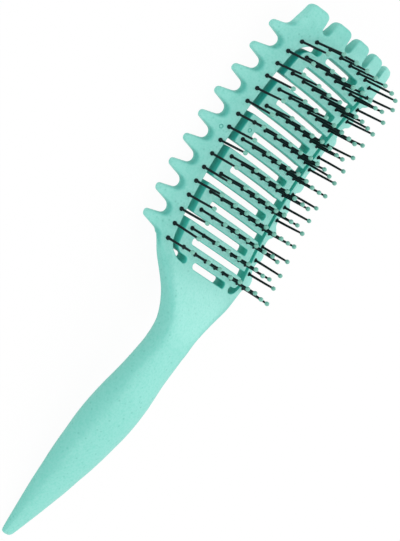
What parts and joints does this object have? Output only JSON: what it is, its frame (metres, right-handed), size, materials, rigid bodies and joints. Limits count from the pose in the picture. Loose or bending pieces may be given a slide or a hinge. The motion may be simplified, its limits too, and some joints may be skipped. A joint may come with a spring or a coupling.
{
  "type": "detangling brush",
  "caption": "Vented detangling brush: one-piece handle and arched head with a serpentine panel, wavy toothed edges, end fingers and upright pins with ball tips",
  "frame": {"origin": "on the surface that the brush lies on, back down, under the middle of its length and width", "axes": "+X runs along the brush towards the end fingers, +Y to the left edge of the head seen with the fingers away and the pins up, +Z the way the pins point"},
  "size_m": [0.2416, 0.0734, 0.0372],
  "materials": {
    "mint_plastic": "fine matte moulding with small dark flecks",
    "black_nylon": "smooth satin nylon",
    "mint_resin": "smooth rounded resin drop"
  },
  "bodies": {
    "root": {"brush_body": "mint_plastic", "pins_row_01": "black_nylon", "pins_row_02": "black_nylon", "pins_row_03": "black_nylon", "pins_row_04": "black_nylon", "pins_row_05": "black_nylon", "pins_row_06": "black_nylon", "pins_row_07": "black_nylon", "pins_row_08": "black_nylon", "pins_row_09": "black_nylon", "pins_row_10": "black_nylon", "pins_row_11": "black_nylon", "pins_row_12": "black_nylon", "pins_left_strip": "black_nylon", "pins_right_strip": "black_nylon", "pins_end_row": "black_nylon", "balls_row_01": "mint_resin", "balls_row_02": "mint_resin", "balls_row_03": "mint_resin", "balls_row_04": "mint_resin", "balls_row_05": "mint_resin", "balls_row_06": "mint_resin", "balls_row_07": "mint_resin", "balls_row_08": "mint_resin", "balls_row_09": "mint_resin", "balls_row_10": "mint_resin", "balls_row_11": "mint_resin", "balls_row_12": "mint_resin", "balls_left_strip": "mint_resin", "balls_right_strip": "mint_resin", "balls_end_row": "mint_resin"}
  },
  "joints": []
}
